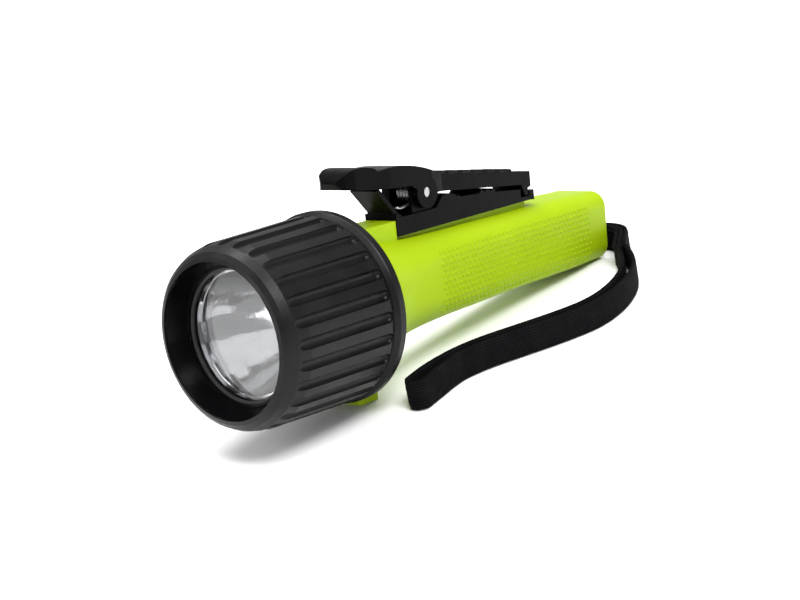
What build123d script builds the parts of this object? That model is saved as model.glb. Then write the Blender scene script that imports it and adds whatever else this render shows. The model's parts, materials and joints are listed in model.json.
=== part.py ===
from build123d import *
from math import asin, atan2, cos, degrees, hypot, radians, sin, tan
import os

# Safety flashlight: twist head with a grooved rubber bumper, square grip,
# spring clip on top and a webbing wrist lanyard at the tail.
#
# The light is drawn lying along its own optical axis: X runs from the front rim (x = 0)
# to the tail, Z points to the clip.  Everything is then laid down on the surface that it
# rests on, tail low, so that the anti-roll tab and the tail carry it.  Millimetres.

# ---------------------------------------------------------------- driving dimensions
LENGTH = 187.5  # front rim to tail face
HEAD_R = 30.0  # rear flange of the rubber bumper
RIM_R = 23.3  # crest of the front rim
HEAD_LENGTH = 47.5
FRONT_LAND_R = 28.1  # bumper radius where its grooves begin
REAR_LAND_R = 29.2  # bumper radius where its grooves end
GROOVES = 28
GROOVE_R = 1.75
GROOVE_DEPTH = 1.5
GROOVE_START = 5.6
GROOVE_END = 40.5
SLEEVE_R = 25.3  # outside of the hard bezel ring, inside of the rubber bumper
LENS_R = 21.4
APERTURE_R = 19.3  # clear opening in front of the reflector
LIP_X = 6.8  # front face of the lip that holds the lens
LENS_X = LIP_X + 1.85
LENS_THICK = 2.0
REFLECTOR_BACK = 39.0
REFLECTOR_HOLE = 4.4
LED_X = REFLECTOR_BACK + 0.6
NECK_R = 22.8  # threaded collar of the body
NECK_BORE = 20.6
NECK_X = 27.0  # front edge of the collar
SHOULDER_X = 47.9
O_RING_X = 44.0
GAP = 0.4  # between the bezel and the body that it turns on

CELL_R = 7.0
CELL_LENGTH = 50.2
CELL_OFFSET = 4.98  # of each column of cells across and up, so both fit on the diagonal
CELLS_X = 62.0  # front end of the first cells
CAVITY_END = 169.0
GRIP_X = 90.0  # where the straight battery bore begins
GRIP_INSIDE = 12.2
GRIP_CORNER = 6.8
GRIP_LIFT = 1.3  # the grip's middle stands this much above the optical axis

TAB_REAR = 57.0
TAB_HALF = 7.6
TAB_DROP = 31.0
TAIL_HALF = 12.7
TAIL_LIFT = 1.2
TAIL_CORNER = 5.6
TAIL_ROUND = 1.8
TAIL_TAPER = 0.05  # growth of the half width over the rounded edge

PIVOT_X = 90.0
PIVOT_Z = 28.8
PIN_R = 1.6
PIN_FIT = 0.05
EAR_R = 5.2
CLIP_HALF = 6.5  # half width of the clip's jaw and base
EAR_HALF = 7.5  # outside of the lever's ears
CHEEK_OUT = 5.4
CHEEK_IN = 4.0
CHEEK_GAP = 0.45  # between a cheek of the base and the lever round it
BASE_FLOOR = 16.9  # underside of the clip base, on the rail of the body
PAD_REAR = 74.4  # rear face of the body's boss, in front of the clip base
PAD_TOP = 22.0
PAD_HALF = 6.1
JAW_TOP = ((97.7, 33.6), (148.8, 26.9))  # upper edge of the jaw
RIBS = 6
RIB_START = 103.0
RIB_PITCH = 7.0

WEB_WIDTH = 9.5
WEB_THICK = 1.6
LEG_SPACING = 3.7  # between the two legs of the folded lanyard
SCREW_R = 1.5
SCREWS = [(98.0, 21.0, 14.8), (134.0, 20.2, 14.6)]  # (x, under the head, tip)
POST_X = 182.7
POST_R = 1.5
RECESS_LOW = -10.0
RECESS_HIGH = 0.4
LEVEL = 0.15  # height of the lanyard's lower edge

# Route of the folded lanyard, midway between its two legs, from above, on the resting
# surface: out of the tail, round to the side, and forward beside the light to its fold.
ROUTE = [
    (95.1, 0.0),
    (99.0, 0.0),
    (100.1, -6.2),
    (97.8, -12.8),
    (91.2, -17.2),
    (82.6, -21.8),
    (75.4, -29.2),
    (66.2, -36.8),
    (54.6, -42.0),
    (41.6, -45.2),
    (27.6, -45.4),
    (14.6, -40.6),
    (1.2, -33.6),
    (-11.6, -26.8),
    (-25.6, -23.6),
    (-44.8, -26.0),
]
SEWN_RUNS = 6  # the doubled, sewn stretch takes this many runs of the route

os.makedirs("parts", exist_ok=True)


# ---------------------------------------------------------------- laying the light down
def rest_tilt():
    """Angle that brings the tab's rear edge and the rounded tail edge to one level."""
    run = LENGTH - TAIL_ROUND - TAB_REAR
    rise = TAB_DROP - (TAIL_HALF + TAIL_TAPER - TAIL_LIFT - TAIL_ROUND)
    return degrees(atan2(rise, run) - asin(TAIL_ROUND / hypot(run, rise)))


TILT = rest_tilt()
DROP = TAB_REAR * sin(radians(TILT)) + TAB_DROP * cos(radians(TILT))
FRONT = -RIM_R * sin(radians(TILT))
BACK = LENGTH * cos(radians(TILT)) + (TAIL_HALF + TAIL_LIFT - TAIL_ROUND) * sin(radians(TILT))
MIDDLE = (FRONT + BACK) / 2
LAID = Pos(-MIDDLE, 0, DROP) * Rot(0, TILT, 0)

written = {}


def write(name, shape, laid=True):
    """Lay a finished piece down and write it as its own file."""
    placed = LAID * shape if laid else shape
    written[name] = placed
    export_step(placed, f"parts/{name}.step")


# ---------------------------------------------------------------- drawing helpers
def turned(points):
    """Solid of revolution about the optical axis from an (x, radius) outline."""
    outline = Polyline(*[(x, 0, r) for x, r in points], close=True)
    return revolve(make_face(outline), Axis.X, 360)


def ring(x0, x1, inner, outer):
    """Plain tube between two places on the optical axis."""
    return turned([(x0, inner), (x1, inner), (x1, outer), (x0, outer)])


def side(points, half):
    """Prism of an (x, z) outline, as wide as twice half across the light."""
    outline = Polyline(*[(x, 0, z) for x, z in points], close=True)
    return extrude(make_face(outline), amount=half, dir=(0, 1, 0), both=True)


def across(x, z, radius, half):
    """Round bar across the light."""
    return Pos(x, 0, z) * Rot(90, 0, 0) * Cylinder(radius, 2 * half)


def block(x0, x1, y0, y1, z0, z1):
    """Box from its corners."""
    size = Box(x1 - x0, y1 - y0, z1 - z0)
    return Pos((x0 + x1) / 2, (y0 + y1) / 2, (z0 + z1) / 2) * size


def section(x, half, corner, lift=GRIP_LIFT):
    """Rounded square across the optical axis, its middle raised by lift."""
    place = Plane(origin=(x, 0, lift), x_dir=(0, 1, 0), z_dir=(1, 0, 0))
    return place * RectangleRounded(2 * half, 2 * half, corner)


def along(x, y, z, radius, length):
    """Round bar along the light, its middle at that point."""
    return Pos(x, y, z) * Rot(0, 90, 0) * Cylinder(radius, length)


def upright(x, top, tip, radius):
    """Round bar across the clip, between two heights."""
    return Pos(x, 0, (top + tip) / 2) * Cylinder(radius, top - tip)


def on_diagonal(sign):
    """Centre (y, z) of one column of cells."""
    return sign * CELL_OFFSET, sign * CELL_OFFSET + GRIP_LIFT


# ---------------------------------------------------------------- body
# Rounded squares across the axis: (x, half width, corner radius, lift).
OUTSIDE = [
    (SHOULDER_X, 25.6, 25.4, 0.0),
    (56.0, 20.6, 19.6, 0.3),
    (65.0, 16.9, 14.2, 0.7),
    (75.0, 15.0, 10.6, 1.0),
    (88.0, 14.1, 8.6, 1.2),
    (104.0, 13.8, 8.0, 1.25),
    (119.0, 13.6, 8.0, 1.25),
    (134.0, 13.4, 8.0, 1.2),
    (150.0, 13.4, 7.6, 1.2),
    (168.0, 13.3, 7.0, 1.2),
    (LENGTH, TAIL_HALF, TAIL_CORNER, TAIL_LIFT),
]
NECK_INSIDE = [
    (SHOULDER_X + 1.0, 20.4, 20.2, 0.0),
    (57.0, 18.0, 17.0, 0.3),
    (66.0, 15.0, 12.4, 0.8),
    (77.0, 13.2, 9.0, 1.1),
    (GRIP_X, GRIP_INSIDE, GRIP_CORNER, GRIP_LIFT),
]


def body_shell():
    outside = loft([section(*s) for s in OUTSIDE])
    tail_edges = outside.edges().group_by(Axis.X)[-1]
    outside = fillet(tail_edges, TAIL_ROUND)
    collar = ring(NECK_X, SHOULDER_X + 1.0, NECK_BORE, NECK_R)
    tab = block(SHOULDER_X + 0.1, TAB_REAR, -TAB_HALF, TAB_HALF, -TAB_DROP, -15.0)
    tab = fillet(tab.edges().filter_by(Axis.Z), 1.2)
    boss = block(56.0, PAD_REAR, -PAD_HALF, PAD_HALF, 12.0, PAD_TOP)
    rail = block(PAD_REAR, 147.0, -4.4, 4.4, 13.9, BASE_FLOOR)
    neck = loft([section(*s) for s in NECK_INSIDE])
    grip = section(GRIP_X, GRIP_INSIDE, GRIP_CORNER)
    cavity = neck + extrude(grip, amount=CAVITY_END - GRIP_X, dir=(1, 0, 0))
    shell = outside + collar + tab + boss + rail
    shell = shell - cavity - ring(NECK_X - 1, SHOULDER_X + 1.2, 0.0, NECK_BORE)
    groove = ring(O_RING_X - 1.3, O_RING_X + 1.3, NECK_R - 1.5, NECK_R + 3)
    recess = block(POST_X - 5, LENGTH + 5, -4.8, 4.8, RECESS_LOW, RECESS_HIGH)
    post_hole = upright(POST_X, RECESS_HIGH + 1.5, RECESS_LOW - 1.5, POST_R + 0.02)
    seat = block(PAD_REAR, 152.0, -6.6, 6.6, BASE_FLOOR, 26.0)
    shell = shell - groove - recess - post_hole - seat
    for x, top, tip in SCREWS:
        shell = shell - upright(x, top, tip, SCREW_R + 0.03)
    return shell


# ---------------------------------------------------------------- head
def bumper():
    outside = [
        (0.0, RIM_R),
        (0.4, RIM_R + 1.2),
        (1.5, RIM_R + 2.6),
        (4.0, RIM_R + 3.9),
        (8.0, FRONT_LAND_R),
        (GROOVE_END + 1.2, REAR_LAND_R),
        (43.4, REAR_LAND_R - 0.6),
        (44.4, HEAD_R - 0.3),
        (44.8, HEAD_R),
        (47.1, HEAD_R),
        (HEAD_LENGTH, HEAD_R - 0.4),
        (HEAD_LENGTH, SLEEVE_R),
        (9.0, SLEEVE_R),
        (4.6, 24.7),
        (0.9, RIM_R),
    ]
    sleeve = turned(outside)
    lean = degrees(atan2(REAR_LAND_R - FRONT_LAND_R, GROOVE_END - GROOVE_START))
    depth = FRONT_LAND_R - 0.1 + GROOVE_R - GROOVE_DEPTH
    length = GROOVE_END - GROOVE_START
    tool = Cylinder(GROOVE_R, length) + Pos(0, 0, length / 2) * Sphere(GROOVE_R)
    tool = tool + Pos(0, 0, -length / 2) * Sphere(GROOVE_R)
    middle = (GROOVE_START + GROOVE_END) / 2
    rise = (REAR_LAND_R - FRONT_LAND_R) / 2
    tool = Pos(middle, 0, depth + rise) * Rot(0, 90 - lean, 0) * tool
    tools = [Rot(k * 360 / GROOVES, 0, 0) * tool for k in range(GROOVES)]
    return sleeve - tools


def bezel_ring():
    return turned(
        [
            (0.95, RIM_R - 0.05),
            (LIP_X, 20.9),
            (LIP_X, 20.2),
            (LIP_X + 1.0, 20.2),
            (LIP_X + 1.0, LENS_R + 0.3),
            (13.4, LENS_R + 0.3),
            (15.2, NECK_R + GAP),
            (47.0, NECK_R + GAP),
            (47.0, SLEEVE_R - 0.02),
            (9.0, SLEEVE_R - 0.02),
            (4.65, 24.66),
        ]
    )


def reflector():
    """Deep bowl: a parabola of revolution, with a flat flange behind the lens."""
    front = LENS_X + LENS_THICK + 0.05
    inner = []
    outer = []
    for k in range(9):
        r = REFLECTOR_HOLE + (APERTURE_R - REFLECTOR_HOLE) * k / 8
        share = (r**2 - REFLECTOR_HOLE**2) / (APERTURE_R**2 - REFLECTOR_HOLE**2)
        x = REFLECTOR_BACK - share * (REFLECTOR_BACK - front)
        inner.append((x, 0, r))
        outer.append((x + 0.9, 0, r + 0.9))
    inside = Spline(*inner)
    outside = Spline(*outer[:-1])
    last = outer[-2]
    rim = Polyline(
        inner[-1],
        (front, 0, LENS_R),
        (front + 1.2, 0, LENS_R),
        (front + 1.2, 0, last[2] + 0.2),
        last,
    )
    back = Line(inner[0], outer[0])
    return revolve(make_face([inside, rim, outside, back]), Axis.X, 360)


def lens_gasket():
    return ring(LIP_X + 1.05, LENS_X - 0.03, APERTURE_R + 0.1, LENS_R)


def lens():
    disc = ring(LENS_X, LENS_X + LENS_THICK, 0.0, LENS_R)
    return chamfer(disc.edges().filter_by(GeomType.CIRCLE), 0.25)


def head_o_ring():
    return Pos(O_RING_X, 0, 0) * Rot(0, 90, 0) * Torus(NECK_R - 0.62, 0.85)


# ---------------------------------------------------------------- light engine and battery
def led_emitter():
    foot = block(LED_X, LED_X + 0.7, -1.75, 1.75, -1.75, 1.75)
    dome = Pos(LED_X, 0, 0) * Sphere(1.35) & block(LED_X - 3, LED_X, -3, 3, -3, 3)
    return foot + dome


def led_board():
    return ring(LED_X + 0.75, LED_X + 2.15, 0.0, 8.0)


def heat_sink():
    plate = ring(LED_X + 2.2, LED_X + 8.0, 0.0, 11.0)
    slots = [ring(LED_X + 3.4 + 1.6 * k, LED_X + 4.2 + 1.6 * k, 8.0, 12.0) for k in range(3)]
    return plate - slots


def module_holder():
    """Cup that holds the light engine on the front of the battery sled."""
    cup = ring(LED_X + 2.2, 54.5, 11.1, 14.5) + ring(LED_X + 8.1, 54.5, 3.0, 14.5)
    flange = ring(46.0, 48.0, 14.0, 19.6)
    return cup + flange


def battery_sled():
    half = GRIP_INSIDE - 0.25
    front = extrude(section(54.7, half, 6.6), amount=1.6, dir=(1, 0, 0))
    rear = extrude(section(CAVITY_END - 2.0, half, 6.6), amount=1.6, dir=(1, 0, 0))
    rails = []
    for y in (-7.9, 7.9):
        z = GRIP_LIFT - y
        rails.append(block(54.7, CAVITY_END - 0.4, y - 2.1, y + 2.1, z - 2.1, z + 2.1))
    holes = [along(55.5, *on_diagonal(s), 2.2, 4) for s in (-1, 1)]
    return front + rear + rails - holes


def aa_cells():
    """Four cells, two in line in each of two columns, with their raised ends."""
    cells = []
    for sign, first in ((-1, -1), (1, 1)):
        y, z = on_diagonal(sign)
        for k in range(2):
            x = CELLS_X + k * (CELL_LENGTH + 0.3)
            can = Cylinder(CELL_R, CELL_LENGTH - 1.2)
            nub = Pos(0, 0, first * (CELL_LENGTH - 0.6) / 2) * Cylinder(2.7, 1.2)
            cell = Rot(0, -90, 0) * (can + nub)
            shift = -first * 0.6
            cells.append(Pos(x + CELL_LENGTH / 2 - shift, y, z) * cell)
    return cells


def spring(x0, x1, y, z, radius, wire, turns):
    """Coil contact spring standing between two places on the optical axis."""
    pitch = (x1 - x0 - 2 * wire) / turns
    coil = Helix(pitch, pitch * turns, radius)
    start = coil @ 0
    profile = Plane(origin=start, z_dir=coil % 0) * Circle(wire)
    solid = sweep(profile, path=coil, is_frenet=True)
    return Pos(x0 + wire, y, z) * Rot(0, 90, 0) * solid


def contact_springs():
    """One spring at the negative end of each column of cells."""
    front_end = spring(57.2, CELLS_X - 0.4, *on_diagonal(1), 3.2, 0.35, 3)
    rear_end = spring(163.4, 165.6, *on_diagonal(-1), 3.2, 0.3, 2)
    return [front_end, rear_end]


def rear_bridge():
    """Strip that joins the two columns at the tail end of the sled."""
    strip = block(CAVITY_END - 2.15, CAVITY_END - 2.05, -4.0, 4.0, -10.0, 10.0)
    return Pos(0, 0, GRIP_LIFT) * Rot(-45, 0, 0) * strip


def front_contacts():
    plates = []
    for sign in (-1, 1):
        y, z = on_diagonal(sign)
        disc = along(56.6, y, z, 4.0, 0.5)
        stem = along(55.6, y, z, 1.8, 2.0)
        plates.append(disc + stem)
    return plates


# ---------------------------------------------------------------- clip
def clip_base():
    front = PAD_REAR + 0.1
    leaning = [(front, 20), (front, 24.6), (67.2, 32.5), (68.8, 33.0), (77.4, 23.6), (77.4, 20)]
    wall = side(leaning, CHEEK_OUT)
    cheek = [(83.6, 20), (84.6, 30.2), (87.5, 32.9), (91.5, 33.1), (94.2, 31.0), (95.4, 20)]
    cheeks = side(cheek, CHEEK_OUT)
    well = block(79.0, 94.3, -CHEEK_IN, CHEEK_IN, 22.6, 40.0)
    low_bar = [
        (front, BASE_FLOOR),
        (front, 24.0),
        (76.4, 24.0),
        (77.4, 22.8),
        (95.0, 22.8),
        (98.6, 26.3),
        (102.6, 26.4),
        (106.3, 24.5),
        (118.6, 23.7),
        (120.0, 24.8),
        (121.8, 23.8),
        (123.4, 24.5),
        (125.2, 23.5),
        (126.8, 24.2),
        (128.2, 22.8),
        (142.4, 21.3),
        (142.4, 18.4),
        (147.7, 18.4),
        (147.7, 20.2),
        (150.4, 20.2),
        (150.4, BASE_FLOOR - 0.3),
        (147.4, BASE_FLOOR),
    ]
    base = side(low_bar, CLIP_HALF) + wall + cheeks - well
    base = base - across(PIVOT_X, PIVOT_Z, PIN_R + 0.02, 20)
    for x, top, tip in SCREWS:
        base = base - upright(x, top, tip, SCREW_R + 0.03) - upright(x, top + 9, top, 2.9)
    return base


def lever_outline():
    """Side outline of the lever, from the thumb paddle to the tooth of the jaw."""
    paddle = Spline((51.4, 0, 37.2), (53.6, 0, 39.5), (58.5, 0, 41.0), (66.0, 0, 39.7))
    notch = Line((66.0, 0, 39.7), (67.2, 0, 38.7))
    hump = Spline((67.2, 0, 38.7), (78.0, 0, 39.0), (88.4, 0, 37.1), (97.7, 0, 33.6))
    jaw = Polyline(
        (JAW_TOP[0][0], 0, JAW_TOP[0][1]),
        (JAW_TOP[1][0], 0, JAW_TOP[1][1]),
        (148.8, 0, 21.6),
        (146.9, 0, 21.2),
        (146.9, 0, 18.9),
        (145.0, 0, 18.9),
        (143.2, 0, 22.85),
        (97.9, 0, 27.8),
        (93.0, 0, 27.8),
    )
    lower = Polyline(
        (93.0, 0, 27.8),
        (85.6, 0, 30.0),
        (82.4, 0, 32.0),
        (71.3, 0, 32.7),
        (61.0, 0, 33.9),
        (57.4, 0, 34.4),
        (53.0, 0, 35.1),
        (51.4, 0, 37.2),
    )
    return make_face([paddle, notch, hump, jaw, lower])


def clip_lever():
    plan = [
        (93.0, EAR_HALF),
        (72.0, EAR_HALF),
        (62.0, 6.8),
        (57.0, 6.5),
        (53.6, 5.3),
        (51.8, 3.2),
        (51.2, 0.0),
        (51.8, -3.2),
        (53.6, -5.3),
        (57.0, -6.5),
        (62.0, -6.8),
        (72.0, -EAR_HALF),
        (93.0, -EAR_HALF),
        (99.0, -CLIP_HALF),
        (150.0, -CLIP_HALF),
        (150.0, CLIP_HALF),
        (99.0, CLIP_HALF),
    ]
    from_above = extrude(make_face(Polyline(*plan, close=True)), amount=60)
    wide = extrude(lever_outline(), amount=EAR_HALF, dir=(0, 1, 0), both=True)
    shape = (wide & from_above) + across(PIVOT_X, PIVOT_Z, EAR_R, EAR_HALF)
    under = [
        (57.6, 30),
        (57.6, 38.1),
        (60.0, 38.8),
        (63.6, 38.2),
        (67.0, 36.8),
        (78.0, 37.0),
        (88.0, 35.3),
        (96.6, 31.8),
        (96.6, 20),
    ]
    shape = shape - side(under, CHEEK_OUT + CHEEK_GAP)
    shape = shape - across(PIVOT_X, PIVOT_Z, PIN_R + PIN_FIT, 20)
    (x0, z0), (x1, z1) = JAW_TOP
    ribs = []
    for k in range(RIBS):
        x = RIB_START + RIB_PITCH * k
        z = z0 + (x - x0) * (z1 - z0) / (x1 - x0)
        ribs.append(across(x, z - 0.5, 1.4, CLIP_HALF - 0.9))
    return shape + ribs


def clip_pin():
    return across(PIVOT_X, PIVOT_Z, PIN_R, EAR_HALF - 0.3)


def clip_spring():
    """Torsion spring round the pivot pin, one leg on the base and one under the lever."""
    wire = 0.55
    radius = 3.0
    turns = 5.25
    pitch = 1.3
    coil = Helix(pitch, pitch * turns, radius)
    start = coil @ 0
    solid = sweep(Plane(origin=start, z_dir=coil % 0) * Circle(wire), path=coil, is_frenet=True)
    return Pos(PIVOT_X, -pitch * turns / 2, PIVOT_Z) * Rot(-90, 0, 0) * solid


def clip_screws():
    screws = []
    for x, top, tip in SCREWS:
        shank = upright(x, top, tip, SCREW_R)
        head = Pos(x, 0, top + 0.7) * Cylinder(2.7, 1.4)
        cross = block(x - 1.6, x + 1.6, -0.35, 0.35, top + 0.6, top + 3)
        other = block(x - 0.35, x + 0.35, -1.6, 1.6, top + 0.6, top + 3)
        screws.append(shank + head - cross - other)
    return screws


# ---------------------------------------------------------------- lanyard
def lanyard_post():
    return upright(POST_X, RECESS_HIGH + 1.4, RECESS_LOW - 1.4, POST_R)


def eye_loop():
    """Webbing round the post, standing on edge, out to just behind the tail face."""
    inner = POST_R + 0.25
    outer = inner + WEB_THICK
    end = LENGTH + 6.0
    low = RECESS_LOW + 0.1
    high = low + WEB_WIDTH
    loop = Pos(POST_X, 0, 0) * Circle(outer) + block_face(POST_X, end, outer)
    hole = Pos(POST_X, 0, 0) * Circle(inner) + block_face(POST_X, LENGTH, inner)
    loop = LAID * (Pos(0, 0, low) * extrude(loop - hole, amount=high - low))
    start = ROUTE[0][0] - 0.02
    return loop - block(start, start + 20, -10, 10, -10, 30)


def block_face(x0, x1, half):
    return Pos((x0 + x1) / 2, 0) * Rectangle(x1 - x0, 2 * half)


def corner_radii(points):
    """Each arc takes 0.45 of the shorter run beside its corner."""
    radii = []
    for a, b, c in zip(points, points[1:], points[2:]):
        before = Vector(*b) - Vector(*a)
        after = Vector(*c) - Vector(*b)
        turn = radians(before.get_angle(after))
        radii.append(0.45 * min(before.length, after.length) / tan(turn / 2))
    return radii


def webbing(points, width):
    """Upright band of that width along the route, standing on the surface."""
    radii = corner_radii(points)
    path = FilletPolyline(*points, radius=radii)
    start = path @ 0
    standing = Plane(origin=start, x_dir=(0, 0, 1), z_dir=path % 0)
    band = sweep(standing * Rectangle(WEB_WIDTH, width), path=path)
    print("arc radii", [round(r, 1) for r in radii], "length", round(path.length, 1))
    print("volume", round(band.volume, 1), "section x length", round(width * WEB_WIDTH * path.length, 1))
    return Pos(0, 0, LEVEL + WEB_WIDTH / 2) * band


def lanyard():
    """Returns the sewn stretch and the folded free stretch."""
    cut = SEWN_RUNS
    joint = ((ROUTE[cut][0] + ROUTE[cut + 1][0]) / 2, (ROUTE[cut][1] + ROUTE[cut + 1][1]) / 2)
    sewn = webbing(ROUTE[: cut + 1] + [joint], 2 * WEB_THICK + 0.2)
    free = [joint] + ROUTE[cut + 1 :]
    outer = webbing(free, LEG_SPACING + WEB_THICK)
    return sewn, outer


# ---------------------------------------------------------------- build
write("body_shell", body_shell())
write("rubber_bumper", bumper())
write("bezel_ring", bezel_ring())
write("lens_gasket", lens_gasket())
write("lens", lens())
write("reflector", reflector())
write("head_o_ring", head_o_ring())
write("led_emitter", led_emitter())
write("led_board", led_board())
write("heat_sink", heat_sink())
write("module_holder", module_holder())
write("battery_sled", battery_sled())
write("aa_cells", Compound(aa_cells()))
write("front_contacts", Compound(front_contacts()))
write("contact_springs", Compound(contact_springs()))
write("rear_bridge", rear_bridge())
write("clip_base", clip_base())
write("clip_lever", clip_lever())
write("clip_pivot_pin", clip_pin())
write("clip_spring", clip_spring())
write("clip_screws", Compound(clip_screws()))
write("lanyard_post", lanyard_post())
write("lanyard_eye_loop", eye_loop(), laid=False)
sewn_stretch, free_stretch = lanyard()
write("lanyard_sewn_end", sewn_stretch, laid=False)
write("lanyard_strap", free_stretch, laid=False)

print("tilt", round(TILT, 3), "middle", round(MIDDLE, 2), "drop", round(DROP, 2))
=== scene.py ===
# %% [markdown]
# # A safety flashlight, dressed over its CAD frame
# Every object is in metres, and every CAD piece already rides on its body: the light, the
# bezel that twists, and the clip's lever. What is left to do here is the camera, the
# light, the finish of every piece, and the soft or tiny things that CAD doesn't draw: the
# webbing lanyard, its stitches, a leg of the clip's spring and the grip dots.

# %% Load the frame
import json
import math

import bpy
import numpy as np
from mathutils import Matrix, Vector
from mathutils.bvhtree import BVHTree


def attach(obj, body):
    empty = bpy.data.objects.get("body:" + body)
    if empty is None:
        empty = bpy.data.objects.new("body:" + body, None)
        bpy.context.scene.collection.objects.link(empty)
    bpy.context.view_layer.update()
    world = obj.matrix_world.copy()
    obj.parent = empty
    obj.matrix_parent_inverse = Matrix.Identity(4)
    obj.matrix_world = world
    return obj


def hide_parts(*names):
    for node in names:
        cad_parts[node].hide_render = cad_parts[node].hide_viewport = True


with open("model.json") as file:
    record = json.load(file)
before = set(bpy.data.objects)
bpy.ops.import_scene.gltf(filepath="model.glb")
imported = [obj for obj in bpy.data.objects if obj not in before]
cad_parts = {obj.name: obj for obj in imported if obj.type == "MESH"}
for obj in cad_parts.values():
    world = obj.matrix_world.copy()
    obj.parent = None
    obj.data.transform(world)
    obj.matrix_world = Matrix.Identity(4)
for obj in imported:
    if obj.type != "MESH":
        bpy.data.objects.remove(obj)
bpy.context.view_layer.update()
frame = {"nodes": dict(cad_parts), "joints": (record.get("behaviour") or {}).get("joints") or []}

nodes = frame["nodes"]
MM = 0.001

# %% [markdown]
# ## The light's own axes
# The flashlight lies tail low, so its optical axis isn't level. It is easier to place
# things along the light itself: X from the front rim to the tail, Z towards the clip.
# The bezel's joint gives that axis and one point on it, 24 mm behind the front rim, so
# nothing has to be measured again.

# %% From the light's axes to the frame
twist = next(j for j in frame["joints"] if j["name"] == "bezel_twist")
AXIS = np.array(twist["axis"], float)
AXIS /= np.linalg.norm(AXIS)
SIDE = np.array([0.0, 1.0, 0.0])
CLIPWARD = np.cross(AXIS, SIDE)
FRONT_RIM = np.array(twist["pos_m"], float) - 24 * MM * AXIS


def lamp(points):
    """Points given along the light, in mm, to the frame, in metres:
    place = front rim + x * axis + y * side + z * clipward."""
    p = np.asarray(points, float).reshape(-1, 3) * MM
    return FRONT_RIM + p[:, :1] * AXIS + p[:, 1:2] * SIDE + p[:, 2:] * CLIPWARD


print("axis", AXIS.round(4), "front rim", FRONT_RIM.round(4))

# %% [markdown]
# ## Camera
# Something this long is best shown with a longish lens, from in front
# of the head, a little above it and to its left. The camera is also rolled, so that the
# light climbs across the picture. Its place and direction are given along the light's
# own axes, so the picture stays the same however the light lies.

# %% Camera
def axes_of_light(x, y, z):
    """A direction given along the light's axes, as a unit vector of the frame."""
    v = x * AXIS + y * SIDE + z * CLIPWARD
    return Vector(v / np.linalg.norm(v))


towards_camera = axes_of_light(-0.7444, -0.6408, 0.1879)
camera_up = axes_of_light(0.2048, 0.0487, 0.9777)
camera_right = camera_up.cross(towards_camera).normalized()
camera_data = bpy.data.cameras.new("camera")
camera_data.lens = 67.5
camera_data.sensor_width = 36.0
camera_data.shift_x = 0.0085
camera_data.shift_y = -0.0167
camera_data.clip_start = 0.01
camera_data.clip_end = 20.0
camera = bpy.data.objects.new("camera", camera_data)
bpy.context.scene.collection.objects.link(camera)
camera.location = lamp([(-281.6, -309.0, 90.6)])[0]
camera.rotation_mode = "QUATERNION"
turned = Matrix((camera_right, towards_camera.cross(camera_right), towards_camera)).transposed()
camera.rotation_quaternion = turned.to_quaternion()
bpy.context.scene.camera = camera
bpy.context.scene.view_settings.view_transform = "Standard"
print("camera", tuple(round(v, 3) for v in camera.location), "lens", camera_data.lens)

# %% [markdown]
# ## Meshes from arrays
# Every new piece is a surface worked out with numpy on a grid: one parameter runs along
# it, the other round it. Two helpers turn such a grid into a mesh. The first builds the
# quads, with the way round closed and, where wanted, its two ends capped. The second
# carries a profile along a path.


# %% Grid to mesh
def add_mesh(name, points, faces, uv=None):
    """A mesh object at the origin, smooth shaded; uv is one (u, v) for each point."""
    mesh = bpy.data.meshes.new(name)
    mesh.from_pydata(np.asarray(points).tolist(), [], [list(f) for f in faces])
    mesh.polygons.foreach_set("use_smooth", np.ones(len(mesh.polygons), bool))
    if uv is not None:
        layer = mesh.uv_layers.new(name="UVMap")
        corner = np.zeros(len(mesh.loops), np.int32)
        mesh.loops.foreach_get("vertex_index", corner)
        layer.data.foreach_set("uv", np.asarray(uv, np.float32)[corner].ravel())
    mesh.update()
    piece = bpy.data.objects.new(name, mesh)
    bpy.context.scene.collection.objects.link(piece)
    return piece


def tube_faces(rows, columns, caps=True):
    """Quads between neighbouring points of a rows x columns grid whose columns close on
    themselves; the two caps are single faces."""
    i, j = np.meshgrid(np.arange(rows - 1), np.arange(columns), indexing="ij")
    here, beyond = i * columns, (i + 1) * columns
    k = (j + 1) % columns
    quads = np.stack([here + j, here + k, beyond + k, beyond + j], -1)
    faces = quads.reshape(-1, 4).tolist()
    if caps:
        faces.append(list(range(columns))[::-1])
        faces.append([(rows - 1) * columns + c for c in range(columns)])
    return faces


def lengths(path):
    """Distance run along a path up to each of its points."""
    steps = np.linalg.norm(np.diff(path, axis=0), axis=1)
    return np.concatenate([[0.0], np.cumsum(steps)])


def directions(path):
    """Unit tangents: differences of the neighbours, brought to length one."""
    t = np.gradient(path, axis=0)
    return t / np.linalg.norm(t, axis=1, keepdims=True)


def sampled(values, run, places):
    """Vectors known at the distances in run, interpolated linearly at other distances."""
    return np.stack([np.interp(places, run, values[:, axis]) for axis in range(3)], 1)


def resampled(path, step):
    """The same path with its points that far apart, by linear interpolation."""
    run = lengths(path)
    places = np.linspace(0, run[-1], max(2, int(round(run[-1] / step)) + 1))
    return sampled(path, run, places)


print("mesh helpers ready")


# %% [markdown]
# ## The lanyard
# A wrist lanyard of narrow black webbing goes round a steel post in the tail, is sewn
# double for about 50 mm, and then lies as one long folded loop beside the light,
# standing on its edge. It is one strip, so it is one piece: a flat profile carried along
# a path that goes out along one leg, round the fold, and back along the other.
#
# The middle line between the two legs is a NURBS curve of order 3. Its points lie on
# the table, half a webbing width up. The two legs are that line moved sideways.

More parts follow.
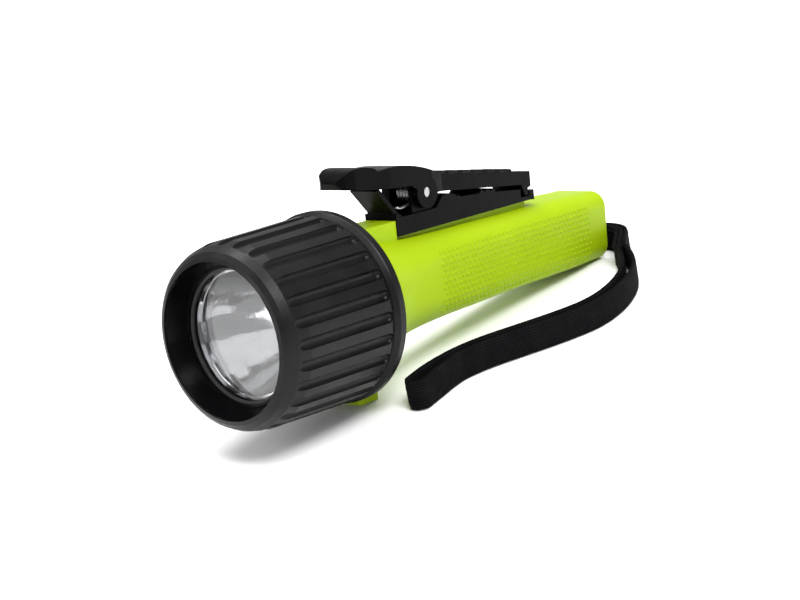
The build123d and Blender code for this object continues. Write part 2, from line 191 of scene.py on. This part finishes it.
# %% Middle line of the lanyard
WEB_WIDTH, WEB_THICK = 9.5 * MM, 1.45 * MM
LEVEL = 4.9 * MM
ROUTE = [
    (95.1, 0.0),
    (100.2, 0.0),
    (102.0, -6.6),
    (99.6, -14.4),
    (92.0, -18.8),
    (82.8, -23.0),
    (75.2, -30.2),
    (66.2, -37.2),
    (54.6, -42.4),
    (41.6, -45.6),
    (27.6, -45.8),
    (14.6, -40.8),
    (1.2, -33.8),
    (-11.6, -27.0),
    (-25.6, -23.6),
    (-42.2, -25.8),
]


def nurbs_line(name, points):
    """The points of an order 3 NURBS line that ends at its first and last control point."""
    data = bpy.data.curves.new(name, "CURVE")
    data.dimensions = "3D"
    spline = data.splines.new("NURBS")
    spline.points.add(len(points) - 1)
    control = np.column_stack([np.asarray(points, float), np.ones(len(points))])
    spline.points.foreach_set("co", control.ravel())
    spline.order_u = 3
    spline.use_endpoint_u = True
    spline.resolution_u = 16
    holder = bpy.data.objects.new(name, data)
    bpy.context.scene.collection.objects.link(holder)
    line = bpy.data.meshes.new_from_object(holder)
    found = np.zeros(len(line.vertices) * 3)
    line.vertices.foreach_get("co", found)
    bpy.data.objects.remove(holder)
    bpy.data.meshes.remove(line)
    return found.reshape(-1, 3)


route = np.array([(x * MM, y * MM, LEVEL) for x, y in ROUTE])
middle = resampled(nurbs_line("lanyard_route", route), 1.2 * MM)
print("middle line", round(lengths(middle)[-1] / MM), "mm,", len(middle), "points")

# %% [markdown]
# The legs are at least two thicknesses apart. Where the strip is sewn, a third layer
# fills the space between them. At the front the strip turns round in a flattened half
# ellipse that flares a little, because webbing resists a sharp fold. At the tail it
# goes round the post.

# %% Middle line from the post, and its sideways direction
POST = lamp([(182.7, 0, -4.85)])[0]
into_tail = np.linspace(0, 1, 9)[:-1, None]
centre = np.vstack([POST + (middle[0] - POST) * into_tail, middle])
run = lengths(centre)
sideways = np.cross(directions(centre) * [1, 1, 0], [0, 0, 1])
sideways /= np.linalg.norm(sideways, axis=1, keepdims=True)
print("middle line from the post", round(run[-1] / MM), "mm")

# %% Distance of each leg from the middle line
SEWN = 50 * MM
SEWN_GAP, FREE_GAP, FOLD_GAP = 1.72 * MM, 1.95 * MM, 2.9 * MM
OPENING = 25 * MM
FLARE_START, FLARE_END = 24 * MM, 6 * MM


def ease(s, start, end):
    """0 before start and 1 after end, with a smooth step 3t^2 - 2t^3 between."""
    t = np.clip((s - start) / (end - start), 0, 1)
    return t * t * (3 - 2 * t)


gap = SEWN_GAP + (FREE_GAP - SEWN_GAP) * ease(run, SEWN, SEWN + OPENING)
gap = gap + (FOLD_GAP - FREE_GAP) * ease(run, run[-1] - FLARE_START, run[-1] - FLARE_END)
print("gap", round(gap.min() / MM, 2), "to", round(gap.max() / MM, 2), "mm")

# %% Both legs, the fold and the turn round the post as one path
FOLD_REACH = 2.6 * MM
half_turn = np.linspace(-math.pi / 2, math.pi / 2, 19)[1:-1, None]
fold = centre[-1] + FOLD_REACH * np.cos(half_turn) * directions(centre)[-1]
fold = fold + gap[-1] * np.sin(half_turn) * sideways[-1]
near_leg = centre + gap[:, None] * sideways
far_leg = centre - gap[:, None] * sideways


def round_post(sign):
    """A quarter circle on one side of the post: post + gap * (cos * axis +- sin * side)."""
    turn = np.linspace(math.pi / 2, math.pi, 7)[1:, None]
    return POST + SEWN_GAP * (np.cos(turn) * AXIS + sign * np.sin(turn) * SIDE)


loop = np.vstack([round_post(1)[::-1], far_leg, fold, near_leg[::-1], round_post(-1)])
loop = resampled(loop, 1.1 * MM)
print("lanyard strip", round(lengths(loop)[-1] / MM), "mm round")

# %% [markdown]
# The strip's profile is a rounded rectangle, written as a superellipse: the sixth powers
# of the two coordinates add up to one. It stands upright everywhere except in the tail,
# where it leans with the light. Its UV map holds millimetres, so that the weave can be
# drawn at its real size.


# %% Webbing along a path
RECESS_X, RECESS_REACH, RECESS_HALF = 88 * MM, 6 * MM, 4 * MM


def strip(name, path, width, thick, around=20):
    """Superellipse |a|^6 + |b|^6 = 1 of that width and thickness, carried along a path:
    point = path + a * thick/2 * across + b * width/2 * upright."""
    t = directions(path)
    in_recess = np.abs(path[:, 0] - RECESS_X) < RECESS_REACH
    in_recess &= np.abs(path[:, 1]) < RECESS_HALF
    inside = np.convolve(np.pad(in_recess, 4, mode="edge"), np.ones(9) / 9, "valid")[:, None]
    upright = np.array([0.0, 0.0, 1.0]) * (1 - inside) + CLIPWARD * inside
    upright = upright - (upright * t).sum(1)[:, None] * t
    upright /= np.linalg.norm(upright, axis=1, keepdims=True)
    across = np.cross(t, upright)
    across /= np.linalg.norm(across, axis=1, keepdims=True)
    angle = np.linspace(0, 2 * math.pi, around, endpoint=False)
    c, s = np.cos(angle), np.sin(angle)
    size = (np.abs(c) ** 6 + np.abs(s) ** 6) ** (-1 / 6)
    a, b = c * size * thick / 2, s * size * width / 2
    grid = path[:, None] + a[None, :, None] * across[:, None]
    grid = grid + b[None, :, None] * upright[:, None]
    u = np.repeat(lengths(path)[:, None], around, 1) / MM
    v = np.repeat(b[None] + (a > 0) * width * 2, len(path), 0) / MM
    uv = np.stack([u.ravel(), v.ravel()], 1)
    return add_mesh(name, grid.reshape(-1, 3), tube_faces(len(path), around), uv)


webbing = strip("lanyard_webbing", loop, WEB_WIDTH, WEB_THICK)
sewn = (run > 2.5 * MM) & (run < SEWN)
core_thick = 2 * SEWN_GAP - WEB_THICK
core = strip("lanyard_core", centre[sewn], WEB_WIDTH - 0.5 * MM, core_thick, 12)
print("webbing faces", len(webbing.data.polygons), "core faces", len(core.data.polygons))

# %% [markdown]
# ### Stitches
# Two rows of lockstitch run along the sewn stretch on each outer face. A stitch is a
# short thread: a thin ellipsoid, repeated at each place along the strip. All of them
# are one mesh, made by adding one small shape's points to every place at once.


# %% Repeating one small shape
def scatter(name, shape, faces, origins, frames):
    """point = origin + x * first axis + y * second axis + z * third axis, for every point
    of the shape at every origin; frames is one 3 x 3 matrix of axes for each origin."""
    placed = origins[:, None] + np.einsum("pk,nkc->npc", shape, frames)
    count, size = len(origins), len(shape)
    shifts = (np.arange(count) * size)[:, None, None]
    quads = (np.asarray(faces)[None] + shifts).reshape(-1, len(faces[0]))
    return add_mesh(name, placed.reshape(-1, 3), quads)


def bead(rows, columns, flat=False):
    """Unit sphere, or its upper half: (cos e cos a, cos e sin a, sin e)."""
    low = 0.0 if flat else -math.pi / 2 + 0.12
    e, a = np.meshgrid(
        np.linspace(low, math.pi / 2 - 0.12, rows),
        np.linspace(0, 2 * math.pi, columns, endpoint=False),
        indexing="ij",
    )
    points = np.stack([np.cos(e) * np.cos(a), np.cos(e) * np.sin(a), np.sin(e)], -1)
    return points.reshape(-1, 3), tube_faces(rows, columns, caps=False)


print("a bead has", len(bead(7, 8)[1]), "faces")

# %% Stitches
STITCH_PITCH, STITCH_ROW = 3.0 * MM, 3.3 * MM
thread_points, thread_faces = bead(7, 8)
thread_points = thread_points[:, [2, 0, 1]] * [1.15 * MM, 0.22 * MM, 0.24 * MM]
stitch_run = np.arange(7 * MM, SEWN - 3 * MM, STITCH_PITCH)
at = sampled(centre, run, stitch_run)
way = sampled(directions(centre), run, stitch_run)
way /= np.linalg.norm(way, axis=1, keepdims=True)
out = sampled(sideways, run, stitch_run)
up = np.cross(out, way)
axes = np.stack([way, out, up], 1)
face_at = SEWN_GAP + WEB_THICK / 2
rows = [(s * face_at, h * STITCH_ROW) for s in (-1, 1) for h in (-1, 1)]
spots = [at + away * out + height * up for away, height in rows]
stitches = scatter(
    "lanyard_stitches", thread_points, thread_faces, np.vstack(spots), np.concatenate([axes] * 4)
)
print("stitches", len(stitch_run) * 4)

for piece in (webbing, core, stitches):
    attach(piece, "light")
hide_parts("lanyard_eye_loop", "lanyard_strap")
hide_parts("lanyard_sewn_end")
print("the lanyard stands for its three CAD solids")

# %% [markdown]
# ## Floor and light
# A pale floor and large soft lamps give the even, almost shadowless look of a catalogue
# picture. A long strip of light above gives the gloss plastic and the rubber ribs a
# readable edge. The world is white and fairly strong, as in a light tent. A broad, weak
# sun straight above keeps the floor as white far away as it is near by.

# %% Floor
FLOOR_REACH, FLOOR_DROP = 6.0, 0.0002
corners = np.array([(-1, -1, 0), (1, -1, 0), (1, 1, 0), (-1, 1, 0)]) * FLOOR_REACH
floor = add_mesh("floor", corners - [0, 0, FLOOR_DROP], [(0, 1, 2, 3)])
print("floor", 2 * FLOOR_REACH, "m wide")


# %% Lamps
def soft_lamp(name, place, aim, size, watts):
    """A rectangular area lamp at a place, turned towards its aim."""
    data = bpy.data.lights.new(name, "AREA")
    data.shape = "RECTANGLE"
    data.size, data.size_y = size
    data.energy = watts
    lamp_object = bpy.data.objects.new(name, data)
    bpy.context.scene.collection.objects.link(lamp_object)
    lamp_object.location = place
    lamp_object.rotation_mode = "QUATERNION"
    lamp_object.rotation_quaternion = (Vector(place) - Vector(aim)).to_track_quat("Z", "Y")


soft_lamp("key", (-0.30, -0.60, 0.80), (0, 0, 0.03), (0.45, 0.32), 10.5)
soft_lamp("top", (0.1, 0.25, 0.8), (0, 0, 0.03), (0.9, 0.14), 5.0)
soft_lamp("side", (-0.75, 0.15, 0.3), (-0.08, 0, 0.04), (0.3, 0.5), 2.5)

ceiling = bpy.data.lights.new("ceiling", "SUN")
ceiling.energy = 1.5
ceiling.angle = math.radians(60)
bpy.context.scene.collection.objects.link(bpy.data.objects.new("ceiling", ceiling))

world = bpy.data.worlds.new("tent")
bpy.context.scene.world = world
world.use_nodes = True
background = world.node_tree.nodes["Background"]
background.inputs["Color"].default_value = (1, 1, 1, 1)
background.inputs["Strength"].default_value = 0.62

# %% [markdown]
# ## Finishes
# Every finish starts from one Principled shader whose plain numbers are set on its own
# sockets. Variation comes from procedural noise read in Object coordinates: the pieces'
# objects all sit at the origin, so one scale means the same size on each piece.


# %% Material helpers
class Finish:
    """A node tree under construction: the shader, the output and a few short-cuts."""

    def __init__(self, name, colour, rough, **sockets):
        self.material = bpy.data.materials.new(name)
        self.material.use_nodes = True
        self.tree = self.material.node_tree
        self.shader = self.tree.nodes["Principled BSDF"]
        self.set(self.shader, "Base Color", (*colour, 1))
        self.set(self.shader, "Roughness", rough)
        for key, value in sockets.items():
            self.set(self.shader, key.replace("_", " "), value)
        self.height = None

    def set(self, node, socket, value):
        node.inputs[socket].default_value = value

    def add(self, kind, **settings):
        node = self.tree.nodes.new(kind)
        for key, value in settings.items():
            setattr(node, key, value)
        return node

    def link(self, a, b):
        self.tree.links.new(a, b)

    def coordinates(self, scale=(1, 1, 1), uv=False):
        """Object coordinates, or the piece's UV map, through a Mapping node."""
        source = self.add("ShaderNodeTexCoord").outputs["UV" if uv else "Object"]
        mapping = self.add("ShaderNodeMapping")
        self.set(mapping, "Scale", scale)
        self.link(source, mapping.inputs["Vector"])
        return mapping.outputs["Vector"]

    def noise(self, scale, detail=3.0, stretch=(1, 1, 1), uv=False):
        """Fractal noise; scale is in cycles a metre along each axis times stretch."""
        node = self.add("ShaderNodeTexNoise")
        self.set(node, "Scale", scale)
        self.set(node, "Detail", detail)
        self.link(self.coordinates(stretch, uv), node.inputs["Vector"])
        return node.outputs["Fac"]

    def math(self, operation, a, b=None):
        """One Math node on sockets or plain numbers."""
        node = self.add("ShaderNodeMath", operation=operation)
        for slot, value in enumerate((a, b)):
            if isinstance(value, (int, float)):
                node.inputs[slot].default_value = value
            elif value is not None:
                self.link(value, node.inputs[slot])
        return node.outputs["Value"]

    def spread(self, factor, low, high):
        """Maps the noise's useful range 0.3 to 0.7 to the numbers low to high."""
        node = self.add("ShaderNodeMapRange")
        self.link(factor, node.inputs["Value"])
        self.set(node, "From Min", 0.3)
        self.set(node, "From Max", 0.7)
        self.set(node, "To Min", low)
        self.set(node, "To Max", high)
        return node.outputs["Result"]

    def vary_colour(self, factor, dark, light):
        """Base colour from dark to light over the middle of the factor's range."""
        ramp = self.add("ShaderNodeValToRGB")
        for stop, place, colour in zip(ramp.color_ramp.elements, (0.35, 0.65), (dark, light)):
            stop.position = place
            stop.color = (*colour, 1)
        self.link(factor, ramp.inputs["Fac"])
        self.link(ramp.outputs["Color"], self.shader.inputs["Base Color"])

    def vary_roughness(self, factor, low, high):
        """Roughness from low to high, following the factor."""
        self.link(self.spread(factor, low, high), self.shader.inputs["Roughness"])

    def bump(self, height, distance, strength=1.0):
        """Adds one layer of bump on top of those before it."""
        node = self.add("ShaderNodeBump")
        self.set(node, "Strength", strength)
        self.set(node, "Distance", distance)
        self.link(height, node.inputs["Height"])
        if self.height is not None:
            self.link(self.height, node.inputs["Normal"])
        self.height = node.outputs["Normal"]
        self.link(self.height, self.shader.inputs["Normal"])


def dress(finish, *names):
    """Puts the finish on CAD nodes, by name, or on new pieces."""
    pieces = [nodes[name] if isinstance(name, str) else name for name in names]
    for piece in pieces:
        piece.data.materials.clear()
        piece.data.materials.append(finish.material)
    print(finish.material.name, "on", ", ".join(piece.name for piece in pieces))


print("finish helpers ready")


# %% [markdown]
# ### Yellow-green body plastic
# High-visibility flashlights are moulded in a fluorescent yellow-green, satin where the
# hand holds them. The colour is nearly flat, with a trace of unevenness from dye and
# handling, and a very fine spark-eroded texture from the mould.

# %% Body plastic
lime = Finish("yellow_green_plastic", (0.265, 0.386, 0.002), 0.42, Specular_IOR_Level=0.1)
lime.vary_colour(lime.noise(28, 4), (0.254, 0.373, 0.002), (0.279, 0.402, 0.003))
lime.vary_roughness(lime.noise(90, 3), 0.38, 0.52)
lime.bump(lime.noise(2600, 2), 0.00004, 0.35)
dress(lime, "body_shell")

# %% [markdown]
# ### Rubber bumper
# The ribbed sleeve of the head is soft black rubber, matt to satin, paler where it has
# been handled. A coarse and a fine noise together break up the reflections.

# %% Rubber
rubber = Finish("black_rubber", (0.004, 0.004, 0.0045), 0.46, Specular_IOR_Level=0.16)
rubber.vary_colour(rubber.noise(60, 5), (0.002, 0.002, 0.0024), (0.005, 0.005, 0.0054))
rubber.vary_roughness(rubber.noise(120, 4), 0.30, 0.48)
rubber.bump(rubber.noise(900, 4), 0.00012, 0.35)
rubber.bump(rubber.noise(4200, 2), 0.00004, 0.4)
dress(rubber, "rubber_bumper")

seal = Finish("seal_rubber", (0.010, 0.010, 0.010), 0.6)
seal.vary_roughness(seal.noise(300), 0.5, 0.7)
seal.bump(seal.noise(3000), 0.00003, 0.3)
dress(seal, "lens_gasket", "head_o_ring")

# %% [markdown]
# ### Glossy black plastics
# The funnel in front of the lens and the clip are hard, polished black plastic. Their
# surface is never perfectly even: a slow, shallow waviness from moulding bends the
# reflections, and fine scuffs roughen it in places.

# %% Gloss plastics
funnel = Finish("funnel_plastic", (0.0015, 0.0015, 0.0018), 0.16, Specular_IOR_Level=0.06)
funnel.vary_roughness(funnel.noise(140, 5), 0.12, 0.26)
funnel.bump(funnel.noise(70, 2), 0.0002, 0.25)
dress(funnel, "bezel_ring")

clip = Finish("clip_plastic", (0.0012, 0.0012, 0.0014), 0.24, Specular_IOR_Level=0.04)
clip.vary_colour(clip.noise(80, 4), (0.0008, 0.0008, 0.001), (0.0016, 0.0016, 0.0018))
clip.vary_roughness(clip.noise(200, 5), 0.22, 0.42)
clip.bump(clip.noise(110, 2), 0.0002, 0.3)
clip.bump(clip.noise(2500, 3), 0.00003, 0.3)
dress(clip, "clip_base", "clip_lever")

# %% [markdown]
# A moulded edge is never razor sharp: it has a small radius that catches a thin line of
# light. The clip's triangles are first joined at their shared points by a Weld
# modifier, and a Bevel modifier then rounds the edges that turn by more than 35 degrees.

# %% Rounded edges of the clip
for name in ("clip_base", "clip_lever"):
    weld = nodes[name].modifiers.new("join", "WELD")
    weld.merge_threshold = 0.005 * MM
    soften = nodes[name].modifiers.new("soften", "BEVEL")
    soften.width = 0.3 * MM
    soften.segments = 2
    soften.limit_method = "ANGLE"
    soften.angle_limit = math.radians(35)
    print(name, "edges softened")

# %% [markdown]
# ### Lens and reflector
# The lens is clear polycarbonate, so it is a transmitting shader with that plastic's
# refractive index. The reflector is plastic with a mirror of vapour-deposited
# aluminium. Its shallow waviness is what draws the streaks of light inside it.

# %% Lens, mirror and light source
clear = Finish("clear_polycarbonate", (1.0, 1.0, 1.0), 0.02, Transmission_Weight=1.0, IOR=1.5)
clear.bump(clear.noise(60, 1), 0.00002, 0.1)
dress(clear, "lens")

mirror_finish = Finish("reflector_mirror", (0.46, 0.465, 0.475), 0.07, Metallic=1.0)
mirror_finish.vary_roughness(mirror_finish.noise(240, 3), 0.05, 0.14)
mirror_finish.bump(mirror_finish.noise(110, 3), 0.0006, 0.45)
dress(mirror_finish, "reflector")

phosphor = Finish("led_phosphor", (0.9, 0.72, 0.12), 0.35)
phosphor.vary_colour(phosphor.noise(900), (0.85, 0.66, 0.1), (0.95, 0.78, 0.16))
dress(phosphor, "led_emitter")

board = Finish("led_board_mask", (0.8, 0.81, 0.79), 0.45)
board.vary_colour(board.noise(400), (0.76, 0.77, 0.75), (0.84, 0.85, 0.83))
dress(board, "led_board")

# %% [markdown]
# ### Metals
# The pin, the screws and the lanyard post are bright drawn steel, the springs darker
# spring wire, and the battery contacts nickel plated. The heat sink is turned
# aluminium: noise squeezed along the light draws its fine tool rings.

# %% Steel, nickel and aluminium
steel = Finish("bright_steel", (0.36, 0.36, 0.355), 0.26, Metallic=1.0)
steel.vary_roughness(steel.noise(900, 4), 0.16, 0.38)
steel.bump(steel.noise(2000, 3, (1, 0.1, 1)), 0.00002, 0.4)
dress(steel, "clip_pivot_pin", "clip_screws", "lanyard_post")

wire = Finish("spring_wire", (0.42, 0.42, 0.43), 0.3, Metallic=1.0)
wire.vary_roughness(wire.noise(1200, 4), 0.2, 0.45)
dress(wire, "clip_spring")

nickel = Finish("nickel_plate", (0.72, 0.68, 0.62), 0.22, Metallic=1.0)
nickel.vary_roughness(nickel.noise(700, 4), 0.15, 0.35)
dress(nickel, "front_contacts", "contact_springs", "rear_bridge")

turned_aluminium = Finish("turned_aluminium", (0.78, 0.79, 0.8), 0.3, Metallic=1.0)
turned_aluminium.bump(turned_aluminium.noise(2500, 2, (1, 0.02, 0.02)), 0.00003, 0.5)
dress(turned_aluminium, "heat_sink")

# %% [markdown]
# ### Inner plastics and cells
# These are seen only when the light is opened: a moulded holder and sled in matt black,
# and cells in a plain dark sleeve with a satin gloss.

# %% Inner plastics
moulded = Finish("moulded_black", (0.035, 0.035, 0.037), 0.5)
moulded.vary_roughness(moulded.noise(300, 3), 0.42, 0.6)
moulded.bump(moulded.noise(2200, 2), 0.00003, 0.4)
dress(moulded, "module_holder", "battery_sled")

sleeve = Finish("cell_sleeve", (0.05, 0.06, 0.09), 0.3)
sleeve.vary_colour(sleeve.noise(50, 3), (0.045, 0.055, 0.08), (0.06, 0.07, 0.1))
sleeve.vary_roughness(sleeve.noise(500, 3), 0.22, 0.4)
dress(sleeve, "aa_cells")

# %% [markdown]
# ### Woven webbing
# Narrow webbing is woven: weft ribs run across it a little under a millimetre apart,
# and each rib is broken by the warp threads that pass over it. The UV map holds
# millimetres, so a triangle wave along and another across, shifted by half a rib in
# every second column, draw the weave at its real size.

# %% Weave
WARP_PITCH, WEFT_PITCH = 0.95, 0.9
weave = Finish("black_webbing", (0.006, 0.006, 0.0065), 0.9, Specular_IOR_Level=0.05)
flat_uv = weave.add("ShaderNodeSeparateXYZ")
weave.link(weave.coordinates((1, 1, 1), uv=True), flat_uv.inputs["Vector"])
column = weave.math("DIVIDE", flat_uv.outputs["Y"], WARP_PITCH)
shift = weave.math("MULTIPLY", weave.math("FLOOR", column), 0.5)
along_strip = weave.math("DIVIDE", flat_uv.outputs["X"], WEFT_PITCH)
rib = weave.math("FRACT", weave.math("ADD", along_strip, shift))
rib_height = weave.math("SINE", weave.math("MULTIPLY", rib, math.pi))
across_strip = weave.math("FRACT", column)
thread_height = weave.math("SINE", weave.math("MULTIPLY", across_strip, math.pi))
weave_height = weave.math("MULTIPLY", rib_height, thread_height)
weave.bump(weave_height, 0.00025, 0.8)
weave.bump(weave.noise(6000, 3), 0.00008, 0.4)
# The weave's height also sets the colour: lighter on the thread tops and darker between the
# threads, which is painted shade in the weave's grooves. The noise on top of it is real wear.
weave_groove_shade = weave.math("MULTIPLY", weave_height, 0.35)
from_wear = weave.math("MULTIPLY", weave.noise(150, 4), 0.6)
wear_and_groove_shade = weave.math("ADD", weave_groove_shade, from_wear)
weave.vary_colour(wear_and_groove_shade, (0.002, 0.002, 0.0025), (0.007, 0.007, 0.0075))
dress(weave, webbing, core)

thread = Finish("bonded_thread", (0.009, 0.009, 0.0095), 0.55, Specular_IOR_Level=0.12)
thread.vary_colour(thread.noise(2500), (0.006, 0.006, 0.0065), (0.013, 0.013, 0.0135))
thread.bump(thread.noise(5000, 2), 0.00005, 0.5)
dress(thread, stitches)

# %% Floor finish
pale = Finish("pale_floor", (0.93, 0.93, 0.93), 0.9)
dress(pale, floor)

# %% [markdown]
# ## Grip dots
# The sides of the grip carry rows of small raised dots. They follow the body's surface,
# so their places are found by looking from each side straight at the light and noting
# where the line of sight first meets the shell and which way the surface faces there.

# %% Places on both sides of the grip
shell = nodes["body_shell"]
seen = BVHTree.FromObject(shell, bpy.context.evaluated_depsgraph_get())
DOT_PITCH, DOT_ROW = 2.35, 1.9
DOT_X, DOT_Z = (86, 173), (-9.1, 10.5)
FAR_ASIDE = 40.0


def side_places(sign):
    """Where a regular grid, seen square on from that side, meets the body."""
    x, z = np.meshgrid(np.arange(*DOT_X, DOT_PITCH), np.arange(*DOT_Z, DOT_ROW))
    x = x + (np.arange(len(x))[:, None] % 2) * DOT_PITCH / 2
    starts = lamp(np.stack([x.ravel(), np.full(x.size, sign * FAR_ASIDE), z.ravel()], 1))
    view = Vector((0, -sign, 0))
    hits = [seen.ray_cast(Vector(p), view) for p in starts]
    return [(h[0], h[1]) for h in hits if h[0] is not None]


found = side_places(-1) + side_places(1)
print("places for dots", len(found))

# %% The dots themselves
DOT_RADIUS, DOT_HEIGHT, DOT_SUNK = 0.68 * MM, 0.5 * MM, 0.05 * MM
dot_at = np.array([p for p, _ in found])
facing = np.array([n for _, n in found])
along = np.cross(facing, np.cross(AXIS, facing))
along /= np.linalg.norm(along, axis=1, keepdims=True)
beside = np.cross(facing, along)
dot_points, dot_faces = bead(4, 8, flat=True)
dot_points = dot_points * [DOT_RADIUS, DOT_RADIUS, DOT_HEIGHT] - [0, 0, DOT_SUNK]
dot_axes = np.stack([along, beside, facing], 1)
dots = scatter("grip_dots", dot_points, dot_faces, dot_at, dot_axes)
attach(dots, "light")
dress(lime, dots)
print("grip dots", len(dot_at))

# %% [markdown]
# ## Spring leg
# A torsion spring works through two straight legs. The one that shows lies along the
# floor of the clip's base: a round wire along a short bent line, riding on the light.


# %% Wire leg
def wire_leg(name, ends, radius, body):
    """Circle of the wire's radius carried along a line: end + cos * side + sin * up."""
    path = resampled(lamp(ends), 0.8 * MM)
    t = directions(path)
    across_wire = np.cross(t, SIDE)
    across_wire /= np.linalg.norm(across_wire, axis=1, keepdims=True)
    other = np.cross(t, across_wire)
    a = np.linspace(0, 2 * math.pi, 12, endpoint=False)[None, :, None]
    ring = np.cos(a) * across_wire[:, None] + np.sin(a) * other[:, None]
    points = (path[:, None] + radius * ring).reshape(-1, 3)
    leg = add_mesh(name, points, tube_faces(len(path), 12))
    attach(leg, body)
    dress(wire, leg)


leg_line = [(89.0, -3.3, 25.9), (80.5, -3.3, 25.0), (78.6, -3.3, 25.4)]
wire_leg("spring_leg_base", leg_line, 0.5 * MM, "light")
print("spring leg ready")
